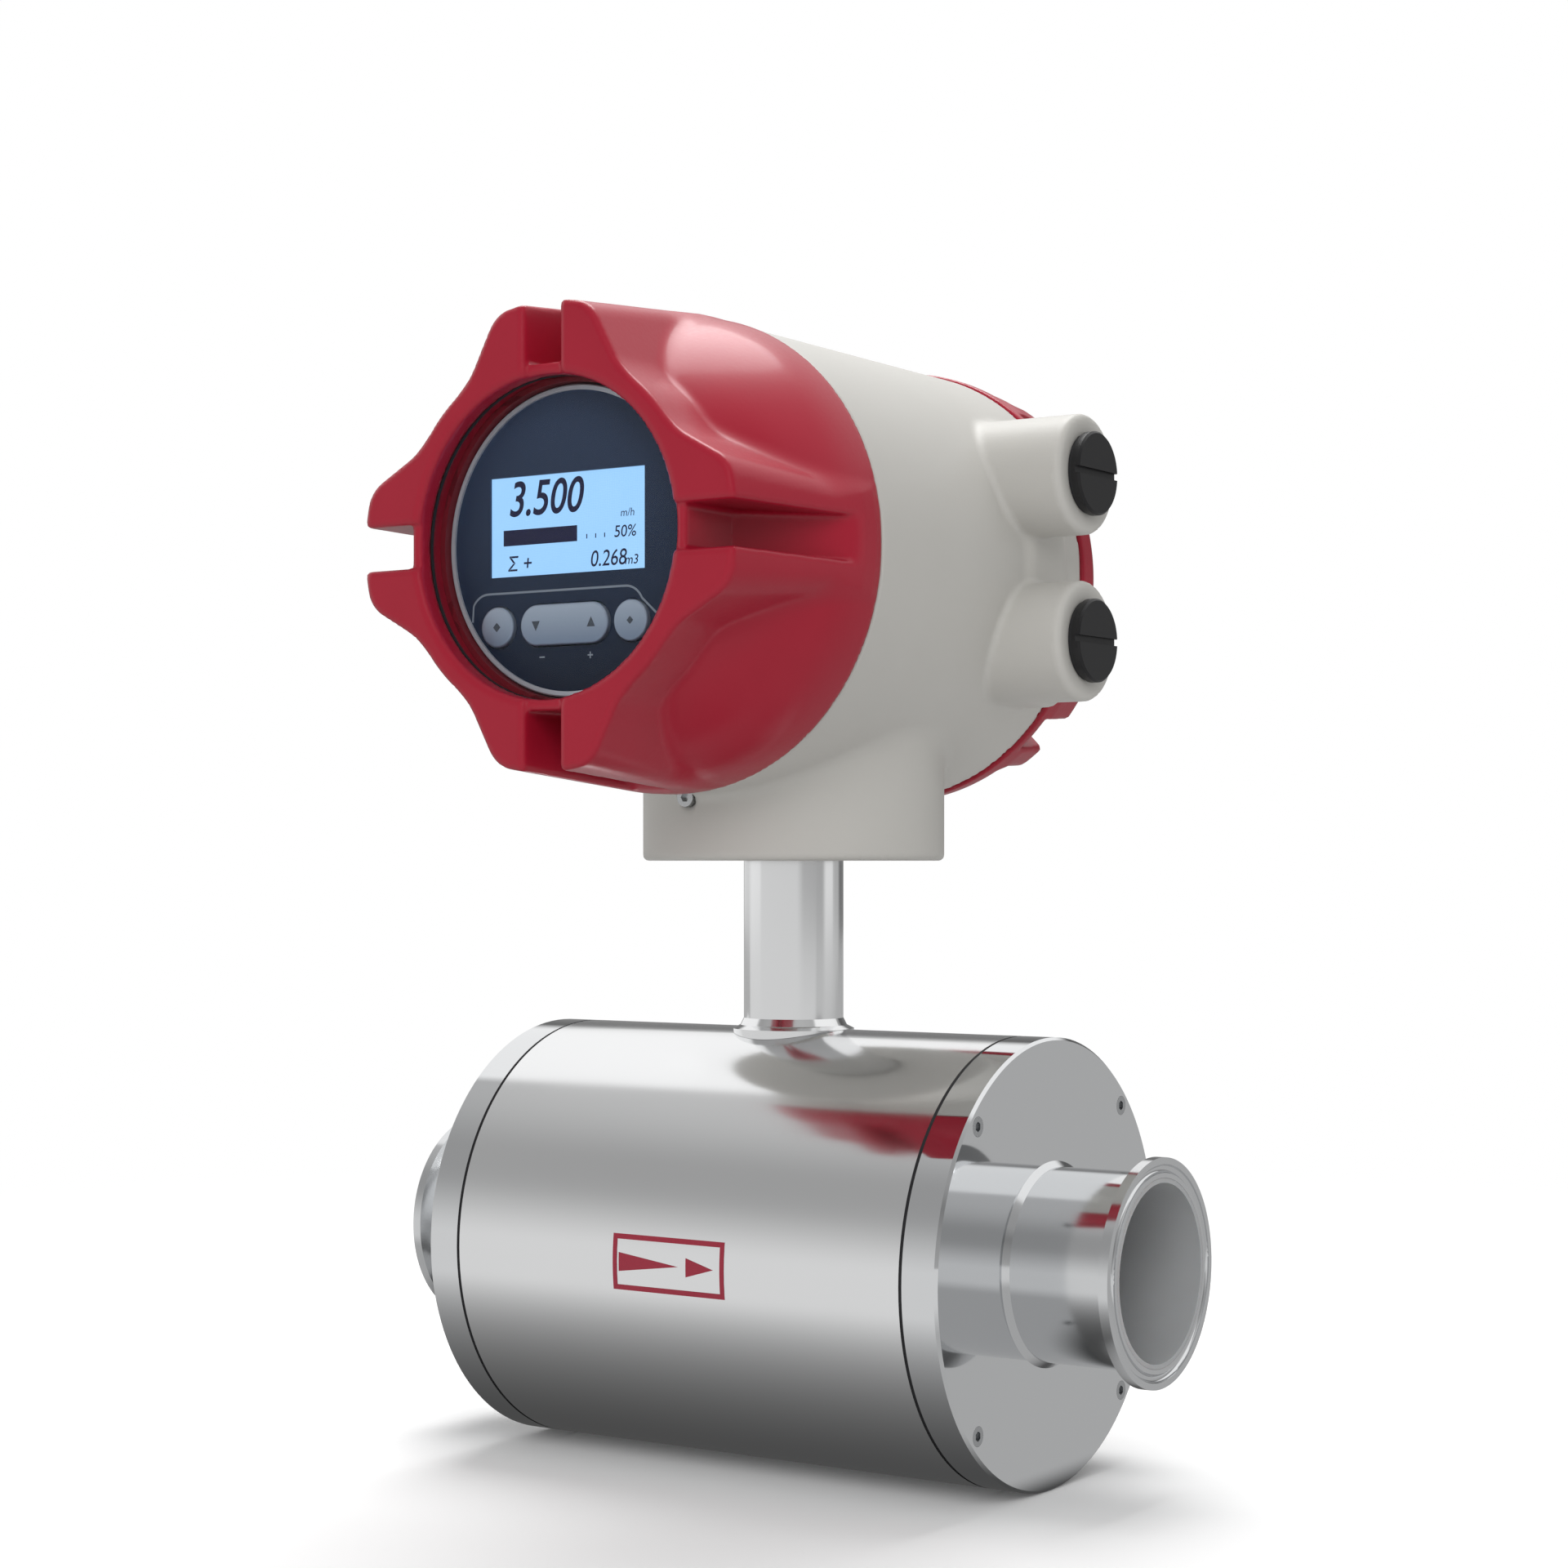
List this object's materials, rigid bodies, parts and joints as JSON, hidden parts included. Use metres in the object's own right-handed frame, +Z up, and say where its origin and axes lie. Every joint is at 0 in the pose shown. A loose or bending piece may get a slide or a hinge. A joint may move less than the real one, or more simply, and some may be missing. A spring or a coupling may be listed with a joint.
{
  "type": "electromagnetic flow meter",
  "caption": "Inline electromagnetic flow meter: polished drum sensor with clamp ferrules, neck, and round transmitter housing with screwed lugged covers, display and plugged cable entries.",
  "frame": {"origin": "centre of the flow bore, midway between the two ferrule faces", "axes": "+X in the flow direction, display facing -Y, +Z up through the neck"},
  "size_m": [0.2438, 0.1989, 0.3313],
  "materials": {
    "polished_steel": "mirror-polished stainless steel",
    "plain_steel": "turned stainless steel",
    "screw_steel": "bright fastener steel",
    "electrode_alloy": "polished corrosion-resistant alloy",
    "magnetic_steel": "lacquered magnetic steel",
    "copper_winding": "enamelled copper winding",
    "bobbin_plastic": "natural engineering plastic",
    "liner_plastic": "smooth fluoropolymer",
    "gasket_rubber": "black rubber",
    "housing_paint": "powder-coated aluminium casting, warm light grey",
    "cover_paint": "gloss powder-coated aluminium casting, deep red",
    "window_glass": "clear toughened glass",
    "retainer_red": "painted aluminium",
    "bezel_silver": "satin silver",
    "panel_film": "dark navy printed film",
    "lcd_screen": "backlit display",
    "key_silver": "silver-blue moulded keys",
    "circuit_board": "green circuit board",
    "black_plastic": "black moulded plastic",
    "terminal_plastic": "green terminal block"
  },
  "bodies": {
    "meter": {"board_spacers": "plain_steel", "cover_lock_screws": "screw_steel", "display_bezel_ring": "bezel_silver", "display_board": "circuit_board", "display_carrier": "black_plastic", "display_panel": "panel_film", "display_posts": "plain_steel", "electrode_bosses": "plain_steel", "electrode_disc_springs": "screw_steel", "electrode_insulators": "bobbin_plastic", "electrode_nuts": "screw_steel", "end_plate_screws": "screw_steel", "front_electrode": "electrode_alloy", "inlet_end_plate": "polished_steel", "inlet_ferrule": "polished_steel", "inlet_plate_gasket": "gasket_rubber", "key_switches": "black_plastic", "lcd_module": "lcd_screen", "lower_coil_bobbin": "bobbin_plastic", "lower_field_coil": "copper_winding", "lower_pole_piece": "magnetic_steel", "main_board": "circuit_board", "mains_transformer": "black_plastic", "measuring_tube": "plain_steel", "neck_locknut": "plain_steel", "neck_seal": "gasket_rubber", "neck_tube": "polished_steel", "outlet_end_plate": "polished_steel", "outlet_ferrule": "polished_steel", "outlet_plate_gasket": "gasket_rubber", "power_board": "circuit_board", "rear_electrode": "electrode_alloy", "rocker_pivot": "plain_steel", "sensor_shell": "polished_steel", "terminal_blocks": "terminal_plastic", "terminal_board": "circuit_board", "terminal_screws": "screw_steel", "terminal_spacers": "plain_steel", "transmitter_housing": "housing_paint", "tube_liner": "liner_plastic", "upper_coil_bobbin": "bobbin_plastic", "upper_field_coil": "copper_winding", "upper_pole_piece": "magnetic_steel", "yoke_band": "magnetic_steel", "yoke_screws": "screw_steel"},
    "front_cover_carrier": {"front_cover_oring": "gasket_rubber"},
    "front_cover": {"front_cover": "cover_paint", "window_seal": "gasket_rubber", "window_glass": "window_glass", "window_retaining_ring": "retainer_red"},
    "rear_cover_carrier": {"rear_cover_oring": "gasket_rubber"},
    "rear_cover": {"rear_cover": "cover_paint"},
    "upper_plug_carrier": {"upper_plug_washer": "gasket_rubber"},
    "upper_plug": {"upper_cable_plug": "black_plastic"},
    "lower_plug_carrier": {"lower_plug_washer": "gasket_rubber"},
    "lower_plug": {"lower_cable_plug": "black_plastic"},
    "left_key": {"left_key": "key_silver"},
    "right_key": {"right_key": "key_silver"},
    "rocker_key": {"rocker_key": "key_silver"}
  },
  "joints": [
    {"name": "front_cover_travel", "type": "slide", "parent": "meter", "child": "front_cover_carrier", "axis": [0, -1, 0], "range_m": [0, 0.01201]},
    {"name": "front_cover_turn", "type": "hinge", "parent": "front_cover_carrier", "child": "front_cover", "pos_m": [0, -0.057, 0.2], "axis": [0, -1, 0], "range_deg": [0, 2160]},
    {"name": "rear_cover_travel", "type": "slide", "parent": "meter", "child": "rear_cover_carrier", "axis": [0, 1, 0], "range_m": [0, 0.01201]},
    {"name": "rear_cover_turn", "type": "hinge", "parent": "rear_cover_carrier", "child": "rear_cover", "pos_m": [0, 0.057, 0.2], "axis": [0, 1, 0], "range_deg": [0, 2160]},
    {"name": "upper_plug_travel", "type": "slide", "parent": "meter", "child": "upper_plug_carrier", "axis": [1, 0, 0], "range_m": [0, 0.01051]},
    {"name": "upper_plug_turn", "type": "hinge", "parent": "upper_plug_carrier", "child": "upper_plug", "pos_m": [0.084, 0.028, 0.2266], "axis": [1, 0, 0], "range_deg": [0, 2520]},
    {"name": "lower_plug_travel", "type": "slide", "parent": "meter", "child": "lower_plug_carrier", "axis": [1, 0, 0], "range_m": [0, 0.01051]},
    {"name": "lower_plug_turn", "type": "hinge", "parent": "lower_plug_carrier", "child": "lower_plug", "pos_m": [0.084, 0.028, 0.178], "axis": [1, 0, 0], "range_deg": [0, 2520]},
    {"name": "left_key_press", "type": "slide", "parent": "meter", "child": "left_key", "axis": [0, 1, 0], "range_m": [0, 0.0006], "stiffness_N_per_m": 800},
    {"name": "right_key_press", "type": "slide", "parent": "meter", "child": "right_key", "axis": [0, 1, 0], "range_m": [0, 0.0006], "stiffness_N_per_m": 800},
    {"name": "rocker_key_tilt", "type": "hinge", "parent": "meter", "child": "rocker_key", "pos_m": [-0.002, -0.1023, 0.1777], "axis": [0, 0, 1], "range_deg": [-2, 2], "stiffness_Nm_per_rad": 0.1}
  ],
  "couplings": [
    {"joint": "front_cover_travel", "follows": "front_cover_turn", "m_per_rad": 0.00031831},
    {"joint": "rear_cover_travel", "follows": "rear_cover_turn", "m_per_rad": 0.00031831},
    {"joint": "upper_plug_travel", "follows": "upper_plug_turn", "m_per_rad": 0.00023873},
    {"joint": "lower_plug_travel", "follows": "lower_plug_turn", "m_per_rad": 0.00023873}
  ]
}
